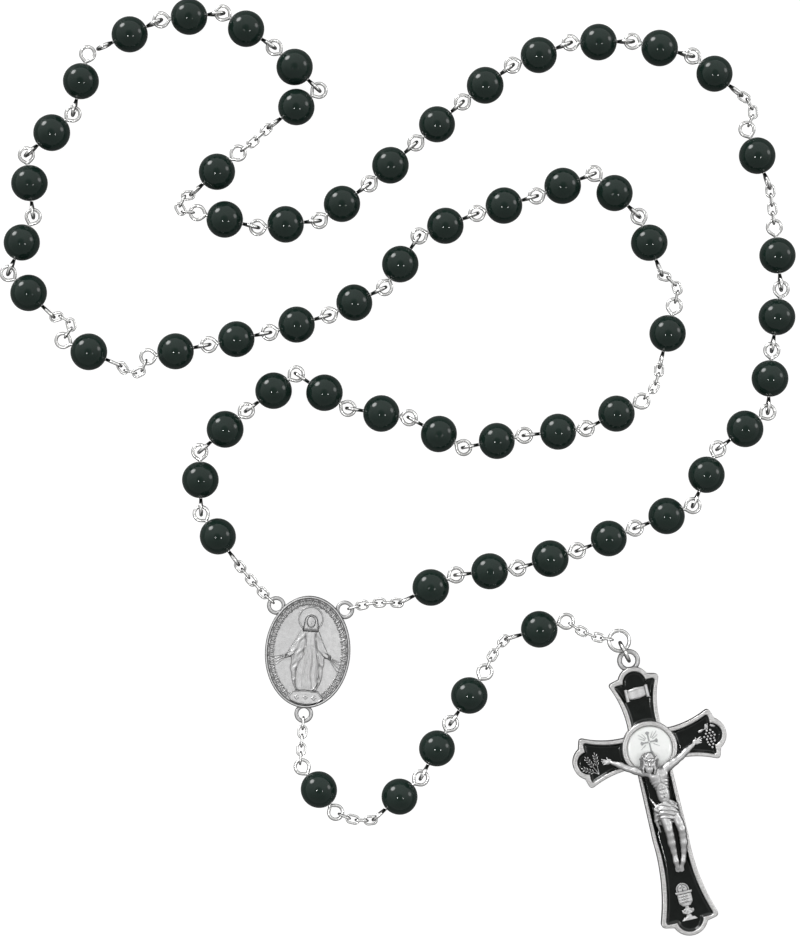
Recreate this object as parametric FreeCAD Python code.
import FreeCAD, Part
import os
from math import acos, asin, cos, degrees, radians, sin

# A five-decade rosary lying on a table: a closed loop of 54 beads on wire pins, a centre medal,
# and a pendant of five beads that ends in a crucifix.
# Frame: millimetres, +Z up. The origin is the middle of the medal's flat back, +Y points along
# the medal towards its two upper eyelets, and the table is the plane z = 0.

Vector = FreeCAD.Vector
UP = Vector(0, 0, 1)

# ---- Driving dimensions -------------------------------------------------------------------

bead_diameter = 8.0
bead_bore = 0.85            # leaves the bead free to turn on its pin
bead_end_flat = 1.6         # diameter of the small flat around each end of the bore

pin_wire = 0.7
eye_radius = 1.5            # of the bent eye, to the middle of the wire
eye_reach = 6.1             # from the bead's middle to the middle of the eye
eye_neck = 4.2              # from the bead's middle to where the wire opens into the eye

link_wire = 0.5
link_length = 3.1           # outside, along the chain
link_width = 2.15           # outside, across the chain

hook_play = 0.15            # free space where a link hooks on its neighbour
eye_play = 1.1              # free space where two eyes hook directly on each other
ring_play = 0.95            # free space between the two jump rings
open_gap = 0.2              # between the two eyes where the loop is left open

jump_ring_wire = 0.8
jump_ring_radius = 2.2      # to the middle of the wire
jump_ring_split = 4         # degrees of the cut where the ring closes

medal_width = 18.5
medal_height = 24.3
medal_plate = 1.4
medal_rim_top = 2.2
medal_rim_width = 0.55
eyelet_radius = 1.6         # to the middle of the eyelet's round section
eyelet_section = 0.85
eyelet_level = 1.1          # height of the eyelets above the table
upper_eyelet = Vector(7.45, 9.6, eyelet_level)
lower_eyelet = Vector(0, -13.45, eyelet_level)

cross_floor = 1.2           # floor of the enamelled recess
cross_enamel_top = 1.9
cross_rim_top = 2.5
disc_ring_radius = 6.0
disc_ring_top = 2.9
disc_radius = 4.9
disc_top = 2.7
disc_thickness = 0.8
bail_radius = 1.97          # to the middle of the bail's round section
bail_section = 1.05
bail_level = 1.5
bail_distance = 19.6        # from the middle of the disc to the middle of the bail
bail_neck = 2.4             # width of the neck that joins the bail to the upper lobe
bail_seat = 0.2             # how far the bail's section sits beyond the jump ring's middle
cross_corner_round = 0.7
symbol_top = 2.15           # of the grapes, the wheat and the cup, just above the enamel
grape_radius = 0.3
grain_radius = 0.2
host_radius = 1.3

scroll_half = 2.7           # half the title scroll's length
scroll_width = 2.2
scroll_foot = 11.35         # from the middle of the disc to the scroll's lower edge
scroll_lean = 0.15          # how much higher its right end sits, and lower its left end
scroll_thickness = 0.45
scroll_roll = 0.35          # radius of the rolled end

overlap = 0.1               # how far the parts of one casting run into each other
slab_reach = 50             # of the cutting slabs, more than the crucifix's reach from its disc
touching = 0.001            # points closer than this are the same point

# Sizes that follow from the ones above
bead_radius = bead_diameter / 2
link_bend = (link_width - link_wire) / 2
link_span = link_length - link_wire
jump_ring_level = jump_ring_radius + jump_ring_wire / 2 + 0.05
medal_rx = medal_width / 2
medal_ry = medal_height / 2

# ---- How the rosary lies ------------------------------------------------------------------
# Every piece hangs on the one before it, so a heading per piece is all that the lie needs.
# Headings are degrees from +X towards +Y. The links of a chain turn evenly from the first
# heading to the last. Both sides of the loop start at the medal and meet far from it.

left_side = [
    ("medal_chain_left", "chain", 6, (140, 130)),
    ("decade_1_beads_1_to_5", "beads", (130, 95, 45, 40, -30)),
    ("decade_1_beads_6_to_10", "beads", (-5, -25, 15, 10, 30)),
    ("our_father_chain_1_before", "chain", 4, (50, 90)),
    ("our_father_bead_1", "beads", (80,)),
    ("our_father_chain_1_after", "chain", 4, (80, 170)),
    ("decade_2_beads_1_to_5", "beads", (115, 140, 205, 200, 205)),
    ("decade_2_beads_6_to_10", "beads", (240, 210, 200, 195, 195)),
    ("our_father_chain_2_before", "chain", 4, (250, 130)),
    ("our_father_bead_2", "beads", (160,)),
    ("our_father_chain_2_after", "chain", 4, (60, 200)),
    ("decade_3_beads_1_to_5", "beads", (140, 70, 100, 45, 80)),
]
right_side = [
    ("medal_chain_right", "chain", 6, (20, 0)),
    ("decade_5_beads_6_to_10", "beads", (30, 10, 20, 25, 25)),
    ("decade_5_beads_1_to_5", "beads", (70, 40, 90, 85, 100)),
    ("our_father_chain_4_after", "chain", 4, (100, 100)),
    ("our_father_bead_4", "beads", (115,)),
    ("our_father_chain_4_before", "chain", 4, (70, 150)),
    ("decade_4_beads_6_to_10", "beads", (145, 170, 185, 205, 220)),
    ("decade_4_beads_1_to_5", "beads", (225, 225, 220, 190, 170)),
    ("our_father_chain_3_after", "chain", 4, (180, 10)),
    ("our_father_bead_3", "beads", (45,)),
    ("our_father_chain_3_before", "chain", 4, (40, 50)),
    ("decade_3_beads_6_to_10", "beads", (40, 140, 150, 190)),
]
pendant = [
    ("pendant_chain_1", "chain", 5, (-90, -90)),
    ("pendant_bead_1", "beads", (-50,)),
    ("pendant_chain_2", "chain", 4, (-20, 10)),
    ("pendant_bead_2", "beads", (45,)),
    ("pendant_bead_3", "beads", (65,)),
    ("pendant_bead_4", "beads", (60,)),
    ("pendant_chain_3", "chain", 4, (70, 50)),
    ("pendant_bead_5", "beads", (20,)),
    ("crucifix_chain", "chain", 5, (-30, -5)),
]
lower_jump_ring_heading = -60
crucifix_heading = -73


# ---- Laying the pieces --------------------------------------------------------------------

def direction(heading, tilt=0.0):
    """Unit vector along a heading, tilted up from the table by tilt degrees."""
    level = cos(radians(tilt))
    return Vector(level * cos(radians(heading)), level * sin(radians(heading)), sin(radians(tilt)))


def place(centre, heading, tilt=0.0, roll=0.0):
    """Placement that turns a piece made along +X, lying flat, into its pose in the rosary."""
    turn = FreeCAD.Rotation(UP, heading)
    lean = FreeCAD.Rotation(Vector(0, 1, 0), -tilt)
    spin = FreeCAD.Rotation(Vector(1, 0, 0), roll)
    return FreeCAD.Placement(centre, turn * lean * spin)


def heading_of(vector):
    """Heading in degrees of a level vector."""
    angle = degrees(vector.getAngle(Vector(1, 0, 0)))
    return angle if vector.y >= 0 else -angle


class Strand:
    """The free end of a chain in the making. Each new piece hooks on the piece before it.

    The free end is an arc of wire that either lies flat or stands upright. A piece hooked on
    a flat arc stands upright, and the other way round.
    """

    def __init__(self, centre, radius, wire):
        self.flat = True
        self.move_end(Vector(centre), radius, wire, 0, 0)

    def move_end(self, centre, radius, wire, heading, tilt):
        self.centre = centre
        self.radius = radius
        self.wire = wire
        self.heading = heading
        self.tilt = tilt

    def hook(self, heading, tilt):
        """Point on the middle of the free end's wire that a piece with this heading pulls on."""
        if self.flat:
            return self.centre + direction(heading, self.tilt) * self.radius
        return self.centre + direction(self.heading, tilt) * self.radius

    def near_wire(self, heading, tilt, wire, play):
        """Middle of the new piece's wire inside the free end's arc."""
        gap = (self.wire + wire) / 2 + play
        return self.hook(heading, tilt) - direction(heading, tilt) * gap

    def add_link(self, heading, tilt):
        near = self.near_wire(heading, tilt, link_wire, hook_play)
        aim = direction(heading, tilt)
        placement = place(near + aim * (link_span / 2), heading, tilt, 90 if self.flat else 0)
        self.move_end(near + aim * (link_span - link_bend), link_bend, link_wire, heading, tilt)
        self.flat = not self.flat
        return placement

    def add_pin(self, heading, play):
        """Returns the bead's placement and whether the pin's two eyes lie flat."""
        near = self.near_wire(heading, 0, pin_wire, play)
        aim = direction(heading)
        middle = near + aim * (eye_radius + eye_reach)
        eyes_flat = (not self.flat, True)
        self.move_end(middle + aim * eye_reach, eye_radius, pin_wire, heading, 0)
        self.flat = True
        return place(middle, heading), eyes_flat

    def add_jump_ring(self, heading, play):
        near = self.near_wire(heading, 0, jump_ring_wire, play)
        middle = near + direction(heading) * jump_ring_radius
        placement = place(middle, heading, 0, 90 if self.flat else 0)
        self.move_end(middle, jump_ring_radius, jump_ring_wire, heading, 0)
        self.flat = not self.flat
        return placement


def chain_tilt(strand, count, rise):
    """Tilt that takes a chain of count links from the strand's free end up by rise."""
    first = link_span - (strand.wire + link_wire) / 2 - hook_play
    step = link_span - link_wire - hook_play
    last_bend = link_bend if count % 2 else 0
    return degrees(asin(rise / (first + (count - 1) * step - last_bend)))


def lay_chain(strand, name, count, headings, end_level):
    first, last = headings
    tilt = chain_tilt(strand, count, end_level - strand.centre.z)
    group = {"name": name, "kind": "chain", "pivot": strand.hook(first, tilt), "heading": first,
             "on_flat": strand.flat, "places": []}
    for index in range(count):
        heading = first + (last - first) * index / (count - 1)
        group["places"].append(strand.add_link(heading, tilt))
    return group


def lay_beads(strand, name, headings, after_chain):
    group = {"name": name, "kind": "beads", "pivot": strand.hook(headings[0], 0),
             "heading": headings[0], "on_flat": strand.flat, "places": [], "eyes": []}
    for index, heading in enumerate(headings):
        play = hook_play if after_chain and index == 0 else eye_play
        placement, eyes_flat = strand.add_pin(heading, play)
        group["places"].append(placement)
        group["eyes"].append(eyes_flat)
    return group


def lay_side(strand, plan):
    """Lays the groups of one strand in order."""
    groups = []
    for name, kind, *details in plan:
        if kind == "chain":
            count, headings = details
            end_level = jump_ring_level if name == "crucifix_chain" else bead_radius
            groups.append(lay_chain(strand, name, count, headings, end_level))
        else:
            after_chain = bool(groups) and groups[-1]["kind"] == "chain"
            groups.append(lay_beads(strand, name, details[0], after_chain))
    return groups


def close_loop(left_end, right_end, last_group):
    """Adds the right side's last bead, its pin pointing at the free eye of the left side."""
    across = left_end.centre - right_end.centre
    pin_half = eye_reach + eye_radius
    from_left = eye_radius + pin_wire + open_gap + pin_half
    play = from_left + pin_half + eye_radius - pin_wire - across.Length
    assert hook_play <= play <= 2 * (eye_radius - pin_wire), "the two sides don't meet"
    middle = left_end.centre - across * (from_left / across.Length)
    last_group["places"].append(place(middle, heading_of(across)))
    last_group["eyes"].append((False, False))


def lay_rosary():
    """All groups of links and beads, the two jump rings, and the crucifix's placement."""
    left = Strand(Vector(-upper_eyelet.x, upper_eyelet.y, eyelet_level), eyelet_radius, eyelet_section)
    right = Strand(upper_eyelet, eyelet_radius, eyelet_section)
    tail = Strand(lower_eyelet, eyelet_radius, eyelet_section)
    left_groups = lay_side(left, left_side)
    right_groups = lay_side(right, right_side)
    close_loop(left, right, right_groups[-1])
    tail_groups = lay_side(tail, pendant)

    ring_heading = tail.heading
    upper_ring = {"name": "jump_ring_upper", "pivot": tail.hook(ring_heading, 0),
                  "heading": ring_heading, "on_flat": tail.flat,
                  "places": [tail.add_jump_ring(ring_heading, hook_play)]}
    lower_ring = {"name": "jump_ring_lower", "pivot": tail.hook(lower_jump_ring_heading, 0),
                  "heading": lower_jump_ring_heading, "on_flat": tail.flat,
                  "places": [tail.add_jump_ring(lower_jump_ring_heading, ring_play)]}

    aim = direction(lower_jump_ring_heading)
    drop = Vector(0, 0, bail_level - jump_ring_level)
    bail = tail.centre + drop + aim * (bail_seat + bail_radius)
    disc = bail + direction(crucifix_heading) * bail_distance - Vector(0, 0, bail_level)
    wire_reach = (jump_ring_radius ** 2 - drop.z ** 2) ** 0.5
    crucifix = {"name": "crucifix", "pivot": tail.centre + drop + aim * wire_reach,
                "heading": lower_jump_ring_heading, "on_flat": tail.flat,
                "places": [place(disc, crucifix_heading + 90)]}
    return left_groups, right_groups, tail_groups, [upper_ring, lower_ring, crucifix]


# ---- Beads, pins and links ----------------------------------------------------------------

def make_bead():
    """A round glass bead with a bore along X and a small flat around each end of the bore."""
    bore = bead_bore / 2
    flat = bead_end_flat / 2
    end = (bead_radius ** 2 - flat ** 2) ** 0.5
    outline = [
        Part.makeLine(Vector(-end, bore, 0), Vector(-end, flat, 0)),
        Part.Arc(Vector(-end, flat, 0), Vector(0, bead_radius, 0), Vector(end, flat, 0)).toShape(),
        Part.makeLine(Vector(end, flat, 0), Vector(end, bore, 0)),
        Part.makeLine(Vector(end, bore, 0), Vector(-end, bore, 0)),
    ]
    return Part.Face(Part.Wire(outline)).revolve(Vector(0, 0, 0), Vector(1, 0, 0), 360)


def make_eye():
    """A drop-shaped eye on the +X side: out from the neck, round the far end, and back to the neck."""
    wire = pin_wire / 2
    centre = Vector(eye_reach, 0, 0)
    neck = Vector(eye_neck, 0, 0)
    distance = eye_reach - eye_neck
    tangent = degrees(acos(eye_radius / distance))
    side = (distance ** 2 - eye_radius ** 2) ** 0.5
    loop = Part.makeTorus(eye_radius, wire, Vector(0, 0, 0), UP, 0, 360, 360 - 2 * tangent)
    loop.rotate(Vector(0, 0, 0), UP, 180 + tangent)
    loop.translate(centre)
    out = centre + direction(180 - tangent) * eye_radius
    back = centre + direction(180 + tangent) * eye_radius
    leaving = Part.makeCylinder(wire, side, neck, out - neck)
    returning = Part.makeCylinder(wire, side, back, neck - back)
    bend = Part.makeSphere(wire, neck)
    return loop.fuse([leaving, returning, bend])


def make_pin(eyes_flat):
    """Wire through a bead, bent into an eye at each end. eyes_flat is (first, last)."""
    shank = Part.makeCylinder(pin_wire / 2, 2 * eye_neck, Vector(-eye_neck, 0, 0), Vector(1, 0, 0))
    eyes = []
    for turn, flat in zip((180, 0), eyes_flat):
        eye = make_eye()
        eye.rotate(Vector(0, 0, 0), UP, turn)
        if not flat:
            eye.rotate(Vector(0, 0, 0), Vector(1, 0, 0), 90)
        eyes.append(eye)
    return shank.fuse(eyes)


def make_link():
    """An oval link of round wire, lying flat, its length along X."""
    straight = link_span - 2 * link_bend
    parts = []
    for side in (-1, 1):
        end = Part.makeTorus(link_bend, link_wire / 2, Vector(0, 0, 0), UP, 0, 360, 180)
        end.rotate(Vector(0, 0, 0), UP, -90 * side)
        end.translate(Vector(side * straight / 2, 0, 0))
        start = Vector(-straight / 2, side * link_bend, 0)
        parts += [end, Part.makeCylinder(link_wire / 2, straight, start, Vector(1, 0, 0))]
    return parts[0].fuse(parts[1:])


def make_jump_ring():
    """A round ring of heavier wire with the cut where it was closed."""
    ring = Part.makeTorus(jump_ring_radius, jump_ring_wire / 2, Vector(0, 0, 0), UP, 0, 360,
                          360 - jump_ring_split)
    ring.rotate(Vector(0, 0, 0), UP, 100)
    return ring


# ---- Centre medal -------------------------------------------------------------------------

def ellipse_plate(rx, ry, bottom, top):
    outline = Part.Ellipse(Vector(0, ry, 0), Vector(rx, 0, 0), Vector(0, 0, 0))
    face = Part.Face(Part.Wire(outline.toShape()))
    face.translate(Vector(0, 0, bottom))
    return face.extrude(Vector(0, 0, top - bottom))


def raised(points, bottom, top, smooth=False):
    """A closed outline through the points, extruded from bottom to top."""
    corners = [Vector(x, y, bottom) for x, y in points]
    if smooth:
        curve = Part.BSplineCurve()
        curve.interpolate(corners, PeriodicFlag=True)
        wire = Part.Wire(curve.toShape())
    else:
        wire = Part.makePolygon(corners + corners[:1])
    return Part.Face(wire).extrude(Vector(0, 0, top - bottom))


# The relief on the medal, from the middle of the medal
halo_centre = Vector(0.2, 7.1, 0)
halo_outer = 2.7
halo_inner = 2.4
head_drop = 0.7             # from the middle of the halo down to the middle of the head
veil_radius = 1.3
face_radius = 0.9
face_lift = 0.3
mantle_outline = [
    (0, 4.9), (1.7, 4.3), (2.9, 1.9), (4.2, -0.4), (3.7, -2.2), (3.4, -5.5), (2.3, -8.8),
    (-2.2, -8.8), (-3.2, -5.5), (-3.4, -2.2), (-4.1, -0.4), (-2.6, 1.9), (-1.4, 4.3),
]
plaque_outline = [(-3.8, -10.2), (-2.8, -8.8), (2.8, -8.8), (3.8, -10.2), (2.6, -11.2), (-2.6, -11.2)]
mantle_height = 0.6         # heights above the plate
veil_height = 0.6
plaque_height = 0.5
halo_height = 0.3


def make_medal():
    """An oval plate with a raised rim, three eyelets, and a robed figure in low relief."""
    field = medal_plate - overlap
    medal = ellipse_plate(medal_rx, medal_ry, 0, medal_plate)
    rim = ellipse_plate(medal_rx, medal_ry, field, medal_rim_top)
    rim = rim.cut(ellipse_plate(medal_rx - medal_rim_width, medal_ry - medal_rim_width,
                                0, medal_rim_top + overlap))
    parts = [rim]
    left_eyelet = Vector(-upper_eyelet.x, upper_eyelet.y, eyelet_level)
    for centre in (left_eyelet, upper_eyelet, lower_eyelet):
        parts.append(Part.makeTorus(eyelet_radius, eyelet_section / 2, centre, UP))

    parts.append(raised(mantle_outline, field, medal_plate + mantle_height, smooth=True))
    parts.append(raised(plaque_outline, field, medal_plate + plaque_height))
    base = halo_centre + Vector(0, 0, field)
    halo_depth = medal_plate + halo_height - field
    halo = Part.makeCylinder(halo_outer, halo_depth, base)
    parts.append(halo.cut(Part.makeCylinder(halo_inner, halo_depth, base)))
    head = Vector(halo_centre.x, halo_centre.y - head_drop, field)
    parts.append(Part.makeCylinder(veil_radius, medal_plate + veil_height - field, head))
    parts.append(Part.makeSphere(face_radius, head + Vector(0, 0, face_lift)))
    return medal.fuse(parts)


# ---- Crucifix -----------------------------------------------------------------------------
# Made with the middle of its disc at the origin, its head towards +Y and its back on z = 0.

# Each arm: how far its root, corners, notches and end lie from the disc's middle, and half
# the width at each. "waist" is a point on the curved side between the root and the corner.
cross_outline = {
    0: {"root": (3.7, 3.5), "waist": (10, 4.05), "corner": (14.4, 5.75), "notch": (15.1, 3.3), "end": 17.0},
    90: {"root": (3.5, 3.7), "waist": (10, 3.95), "corner": (15.4, 5.75), "notch": (16.0, 3.2), "end": 18.1},
    180: {"root": (3.7, 3.5), "waist": (10, 4.05), "corner": (14.4, 5.75), "notch": (15.1, 3.3), "end": 17.0},
    270: {"root": (20, 3.9), "waist": (31, 4.55), "corner": (38.5, 6.6), "notch": (39.1, 3.7), "end": 41.5},
}
recess_outline = {
    0: {"root": (3.0, 2.6), "waist": (10, 3.15), "corner": (13.9, 4.6), "notch": (13.9, 2.45), "end": 16.0},
    90: {"root": (2.6, 3.0), "waist": (10, 3.05), "corner": (14.8, 4.7), "notch": (14.8, 2.5), "end": 17.1},
    180: {"root": (3.0, 2.6), "waist": (10, 3.15), "corner": (13.9, 4.6), "notch": (13.9, 2.45), "end": 16.0},
    270: {"root": (20, 3.0), "waist": (31, 3.5), "corner": (38.1, 5.4), "notch": (38.1, 2.9), "end": 40.6},
}


def cross_plate(arms, bottom, top):
    """The flared cross with a round lobe at each end, as one plate.

    Neighbouring arms share their root points, except where the long lower arm needs a line.
    """
    edges = []
    start = None
    previous = None
    for angle in (0, 90, 180, 270):
        arm = arms[angle]
        turn = FreeCAD.Rotation(UP, angle)

        def point(along, across):
            return turn.multVec(Vector(along, across, bottom))

        low_root, low_waist, low_corner, low_notch = [
            point(arm[key][0], -arm[key][1]) for key in ("root", "waist", "corner", "notch")]
        root, waist, corner, notch = [
            point(arm[key][0], arm[key][1]) for key in ("root", "waist", "corner", "notch")]
        end = point(arm["end"], 0)
        if previous is not None and not previous.isEqual(low_root, touching):
            edges.append(Part.makeLine(previous, low_root))
        start = start or low_root
        edges.append(Part.Arc(low_root, low_waist, low_corner).toShape())
        edges.append(Part.makeLine(low_corner, low_notch))
        edges.append(Part.Arc(low_notch, end, notch).toShape())
        edges.append(Part.makeLine(notch, corner))
        edges.append(Part.Arc(corner, waist, root).toShape())
        previous = root
    edges.append(Part.makeLine(previous, start))
    return Part.Face(Part.Wire(edges)).extrude(Vector(0, 0, top - bottom))


def round_corners(plate, arms, radius):
    """Rounds the upright edges at the tips of the arms' corners."""
    tips = []
    for angle, arm in arms.items():
        turn = FreeCAD.Rotation(UP, angle)
        along, across = arm["corner"]
        tips += [turn.multVec(Vector(along, side * across, 0)) for side in (-1, 1)]
    chosen = []
    for edge in plate.Edges:
        ends = [vertex.Point for vertex in edge.Vertexes]
        upright = len(ends) == 2 and abs(ends[0].z - ends[1].z) > 1
        foot = Vector(ends[0].x, ends[0].y, 0)
        if upright and any(foot.isEqual(tip, touching) for tip in tips):
            chosen.append(edge)
    return plate.makeFillet(radius, chosen)


def grape_places():
    """Middles of the grapes on the arm to the right: rows that narrow towards the tip."""
    spacing = 0.72
    places = []
    for row, count in enumerate((3, 4, 4, 3, 2, 1)):
        for index in range(count):
            x = 13.3 + (index - (count - 1) / 2) * spacing
            places.append((x, 0.9 - row * spacing * 0.87))
    return places


def wheat_places():
    """Middles of the wheat grains on the arm to the left, in pairs along three ears."""
    foot = Vector(-12.0, -2.3, 0)
    places = []
    for lean in (105, 130, 155):
        aim = direction(lean)
        across = direction(lean + 90)
        for step in range(4):
            for side in (-1, 1):
                spot = foot + aim * (1.6 + 0.55 * step) + across * (0.26 * side)
                places.append((spot.x, spot.y))
    return places


def make_symbols(bottom):
    """Grapes, wheat, and a cup with a host, standing up through the enamel."""
    height = symbol_top - bottom
    shapes = []
    for x, y in grape_places():
        shapes.append(Part.makeCylinder(grape_radius, height, Vector(x, y, bottom)))
    for x, y in wheat_places():
        shapes.append(Part.makeCylinder(grain_radius, height, Vector(x, y, bottom)))
    cup = [(-1.5, -32.0), (1.5, -32.0), (1.3, -34.2), (0.4, -35.2), (0.4, -36.0), (1.4, -37.6),
           (-1.4, -37.6), (-0.4, -36.0), (-0.4, -35.2), (-1.3, -34.2)]
    shapes.append(raised(cup, bottom, symbol_top))
    shapes.append(Part.makeCylinder(host_radius, height, Vector(0, -31.2, bottom)))
    return shapes[0].fuse(shapes[1:])


def slab(bottom, top):
    """A block wider than the crucifix between two heights."""
    corner = Vector(-slab_reach, -slab_reach, bottom)
    return Part.makeBox(2 * slab_reach, 2 * slab_reach, top - bottom, corner)


def make_crucifix():
    """Cast cross, its enamel, the white disc, the title scroll and the corpus."""
    pocket_floor = disc_top - disc_thickness
    recess = cross_plate(recess_outline, cross_floor, cross_rim_top + overlap)
    disc_boss = Part.makeCylinder(disc_ring_radius, disc_ring_top)
    cavity = recess.cut(disc_boss)
    symbols = make_symbols(cross_floor - overlap)

    blank = round_corners(cross_plate(cross_outline, 0, cross_rim_top), cross_outline, cross_corner_round)
    bail = Part.makeTorus(bail_radius, bail_section / 2, Vector(0, bail_distance, bail_level), UP)
    neck_corner = Vector(-bail_neck / 2, recess_outline[90]["end"] + overlap, bail_level - bail_section / 2)
    neck = Part.makeBox(bail_neck, bail_neck / 2, bail_section, neck_corner)
    casting = blank.cut(cavity).fuse([disc_boss, bail, neck, symbols])
    casting = casting.cut(Part.makeCylinder(disc_radius, disc_ring_top, Vector(0, 0, pocket_floor)))

    enamel = cavity.common(slab(cross_floor, cross_enamel_top)).cut(symbols)
    disc = Part.makeCylinder(disc_radius, disc_thickness, Vector(0, 0, pocket_floor))
    return {
        "crucifix_cross": casting,
        "crucifix_black_enamel": enamel,
        "crucifix_white_disc": disc,
        "crucifix_title_scroll": make_scroll(),
        "crucifix_corpus": make_corpus(),
    }


def make_scroll():
    """A blank scroll over the head: a thin plate with a rolled bar at each end."""
    base = cross_enamel_top
    left = (-scroll_half, scroll_foot - scroll_lean)
    right = (scroll_half, scroll_foot + scroll_lean)
    outline = [left, right, (right[0], right[1] + scroll_width), (left[0], left[1] + scroll_width)]
    plate = raised(outline, base, base + scroll_thickness)
    bar_length = scroll_width + 4 * overlap
    bars = []
    for x, y in (left, right):
        start = Vector(x, y - 2 * overlap, base + scroll_roll)
        bars.append(Part.makeCylinder(scroll_roll, bar_length, start, Vector(0, 1, 0)))
    return plate.fuse(bars)


# Cross-sections of the corpus: (x, y, z, half width, half depth) at their middles. The body's
# run from the shoulders to the feet, the arms' from one hand to the other.
body_sections = [
    (0.4, -4.3, 3.6, 2.2, 0.8), (0.5, -6.2, 3.4, 2.3, 1.5), (0.6, -8.5, 3.2, 1.9, 1.5),
    (0.6, -11.0, 2.9, 1.45, 1.2), (0.6, -12.6, 2.9, 1.9, 1.4), (0.6, -15.2, 2.9, 2.1, 1.5),
    (1.0, -17.5, 3.0, 1.75, 1.3), (1.1, -19.2, 3.1, 1.6, 1.2), (0.4, -22.0, 2.8, 1.25, 1.0),
    (0.1, -24.4, 2.6, 1.0, 0.8), (-0.3, -26.6, 2.4, 0.7, 0.6),
]
arm_sections = [
    (-10.5, -0.2, 2.4, 0.4, 0.4), (-9.6, -0.5, 2.4, 0.6, 0.5), (-8.4, -1.1, 2.6, 0.45, 0.45),
    (-5.8, -2.9, 3.3, 0.6, 0.6), (-2.4, -4.6, 3.7, 0.85, 0.8), (0.4, -5.1, 3.7, 1.0, 1.0),
    (3.0, -4.4, 3.7, 0.85, 0.8), (6.2, -3.1, 3.3, 0.6, 0.6), (9.1, -1.4, 2.6, 0.45, 0.45),
    (10.2, -0.8, 2.4, 0.6, 0.5), (11.0, -0.4, 2.4, 0.4, 0.4),
]
corpus_head = Vector(-0.7, -2.7, 4.5)
corpus_head_radius = 1.45
disc_ring_play = 0.02       # between the figure and the disc's ring

# Tapered stretches of the corpus: (start, aim, length, first radius, last radius)
corpus_neck = (Vector(0.5, -5.0, 3.9), Vector(-0.5, 0.8, 0.25), 2.2, 0.95, 0.75)
hanging_cloth = (Vector(-1.6, -14.6, 2.5), Vector(-0.15, -1, 0), 3.4, 0.75, 0.4)


def loft_through(sections, across):
    """A smooth solid through oval sections. Each one spans its half width along across."""
    wires = []
    for x, y, z, half_width, half_depth in sections:
        ring = []
        for angle in range(0, 360, 45):
            side = across * (half_width * cos(radians(angle)))
            ring.append(Vector(x, y, z) + side + UP * (half_depth * sin(radians(angle))))
        curve = Part.BSplineCurve()
        curve.interpolate(ring, PeriodicFlag=True)
        wires.append(Part.Wire(curve.toShape()))
    return Part.makeLoft(wires, True, False)


def make_corpus():
    """The figure on the cross, flat where it rests on the enamel and on the disc's ring."""
    body = loft_through(body_sections, Vector(1, 0, 0))
    arms = loft_through(arm_sections, Vector(0, 1, 0))
    tapers = []
    for start, aim, length, first, last in (corpus_neck, hanging_cloth):
        tapers.append(Part.makeCone(first, last, length, start, aim))
    head = Part.makeSphere(corpus_head_radius, corpus_head)
    figure = body.fuse([arms, head] + tapers)
    disc_boss = Part.makeCylinder(disc_ring_radius + disc_ring_play, disc_ring_top)
    return figure.cut([slab(-cross_rim_top, cross_enamel_top), disc_boss])


# ---- Writing the nodes --------------------------------------------------------------------

def write(name, solids):
    """Writes one node: a single solid, or a group of separate ones."""
    shape = solids[0] if len(solids) == 1 else Part.makeCompound(solids)
    shape.exportStep("parts/" + name + ".step")


def placed(shape, placement):
    copy = shape.copy()
    copy.Placement = placement.multiply(copy.Placement)
    return copy


def pin_name(bead_name):
    """decade_1_beads_1_to_5 -> decade_1_pins_1_to_5, and our_father_bead_1 -> our_father_pin_1."""
    return bead_name.replace("bead", "pin")


def main():
    os.makedirs("parts", exist_ok=True)
    bead = make_bead()
    link = make_link()
    ring = make_jump_ring()
    pins = {eyes: make_pin(eyes) for eyes in ((False, True), (True, True), (False, False))}

    left_groups, right_groups, tail_groups, rest = lay_rosary()
    for group in left_groups + right_groups + tail_groups:
        places = group["places"]
        if group["kind"] == "chain":
            write(group["name"], [placed(link, spot) for spot in places])
        else:
            write(group["name"], [placed(bead, spot) for spot in places])
            wires = [placed(pins[eyes], spot) for eyes, spot in zip(group["eyes"], places)]
            write(pin_name(group["name"]), wires)

    write("centre_medal", [make_medal()])
    upper_ring, lower_ring, crucifix = rest
    write(upper_ring["name"], [placed(ring, upper_ring["places"][0])])
    write(lower_ring["name"], [placed(ring, lower_ring["places"][0])])
    for name, shape in make_crucifix().items():
        write(name, placed(shape, crucifix["places"][0]).Solids)


if __name__ == "__main__":
    main()
